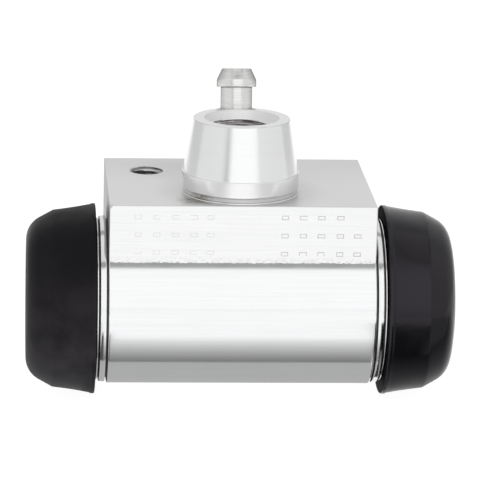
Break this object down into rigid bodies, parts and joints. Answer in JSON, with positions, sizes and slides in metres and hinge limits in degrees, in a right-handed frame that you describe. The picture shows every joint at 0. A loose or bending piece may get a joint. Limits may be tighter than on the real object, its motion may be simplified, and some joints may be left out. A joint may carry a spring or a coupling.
{
  "type": "brake wheel cylinder",
  "caption": "Double-acting drum brake wheel cylinder with an extruded alloy body, conical inlet boss, bleed screw, rubber boots and sliding pistons.",
  "frame": {"origin": "in the plane of the mounting face, on the inlet boss's axis, straight above the middle of the bore", "axes": "+X along the bore to the right piston, +Y from the barrel's open flank to the flange's back edge, +Z out of the mounting face along the inlet boss"},
  "size_m": [0.0706, 0.0394, 0.0517],
  "materials": {
    "alloy": "drawn extrusion with fine lines along the bore, milled mounting face, turned necks and boss",
    "plated_steel": "turned steel, zinc plated",
    "piston_alloy": "turned, anodised",
    "seal_rubber": "moulded, matt",
    "spring_steel": "drawn wire",
    "boot_rubber": "moulded, satin"
  },
  "bodies": {
    "housing": {"body": "alloy", "return_spring": "spring_steel", "boot_left": "boot_rubber", "boot_right": "boot_rubber"},
    "left_piston": {"piston_left": "piston_alloy", "cup_seal_left": "seal_rubber", "cup_expander_left": "plated_steel"},
    "right_piston": {"piston_right": "piston_alloy", "cup_seal_right": "seal_rubber", "cup_expander_right": "plated_steel"},
    "bleeder": {"bleed_screw": "plated_steel"}
  },
  "joints": [
    {"name": "left_piston_slide", "type": "slide", "parent": "housing", "child": "left_piston", "axis": [-1, 0, 0], "range_m": [-0.002, 0.006], "deforming": ["boot_left", "return_spring"]},
    {"name": "right_piston_slide", "type": "slide", "parent": "housing", "child": "right_piston", "axis": [1, 0, 0], "range_m": [-0.002, 0.006], "deforming": ["boot_right", "return_spring"]},
    {"name": "bleed_screw_turn", "type": "hinge", "parent": "housing", "child": "bleeder", "pos_m": [0.0002, 0.0144, 0], "axis": [0, 0.2079, 0.9781], "range_deg": [0, 270]}
  ]
}
